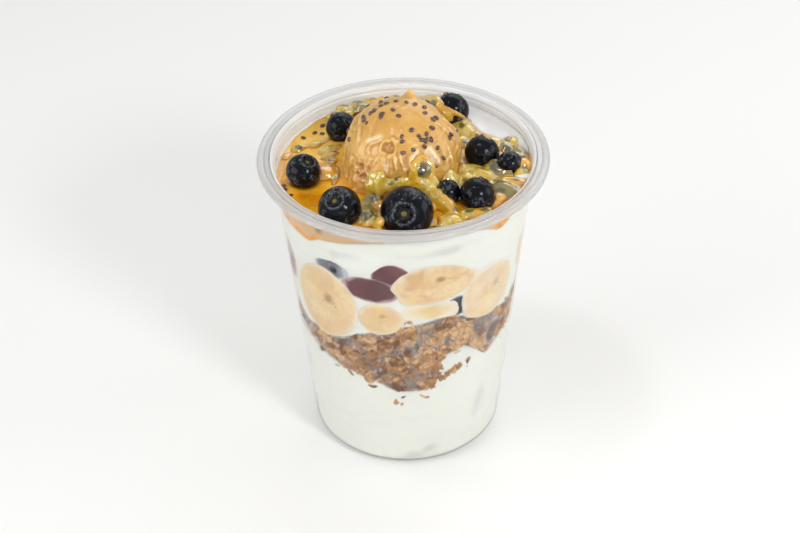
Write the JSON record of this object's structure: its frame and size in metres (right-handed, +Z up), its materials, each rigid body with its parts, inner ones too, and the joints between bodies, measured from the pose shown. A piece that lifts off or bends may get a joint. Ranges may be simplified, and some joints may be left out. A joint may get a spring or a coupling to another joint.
{
  "type": "frozen yogurt parfait in a clear cup",
  "caption": "Layered frozen yogurt, granola and fruit in a clear tapered cup, topped with passion fruit pulp, berries and a scoop of peanut butter.",
  "frame": {"origin": "middle of the cup's base, on the surface that it stands on", "axes": "+Z up along the cup's axis; the side that the picture shows faces -Y, with +X to its right"},
  "size_m": [0.095, 0.095, 0.1246],
  "materials": {
    "clear_plastic": "clear, slightly hazy, glossy",
    "yogurt": "creamy, soft sheen",
    "granola": "rough toasted oats",
    "banana": "moist, soft sheen",
    "grape": "smooth skin, glossy",
    "blueberry": "waxy bloom, wet gloss",
    "fruit_pulp": "wet translucent gel",
    "peanut_butter": "smooth, soft gloss"
  },
  "bodies": {
    "root": {"cup": "clear_plastic", "yogurt_bottom": "yogurt", "granola": "granola", "yogurt_top": "yogurt", "passion_fruit_pulp": "fruit_pulp", "peanut_butter_scoop": "peanut_butter", "banana_slice_left": "banana", "banana_slice_centre": "banana", "banana_slice_right": "banana", "banana_slice_flat": "banana", "banana_slice_middle": "banana", "banana_slice_side_left": "banana", "banana_slice_side_right": "banana", "banana_slice_back_left": "banana", "banana_slice_back_right": "banana", "grape_front_upper": "grape", "grape_front_lower": "grape", "grape_left": "grape", "grape_back": "grape", "grape_right": "grape", "blueberry_wall_left": "blueberry", "blueberry_wall_right": "blueberry", "blueberry_wall_back": "blueberry", "blueberry_wall_far": "blueberry", "blueberry_left": "blueberry", "blueberry_front_left": "blueberry", "blueberry_front": "blueberry", "blueberry_front_right": "blueberry", "blueberry_small": "blueberry", "blueberry_right": "blueberry", "blueberry_right_small": "blueberry", "blueberry_back_right": "blueberry", "blueberry_back_left": "blueberry"}
  },
  "joints": []
}
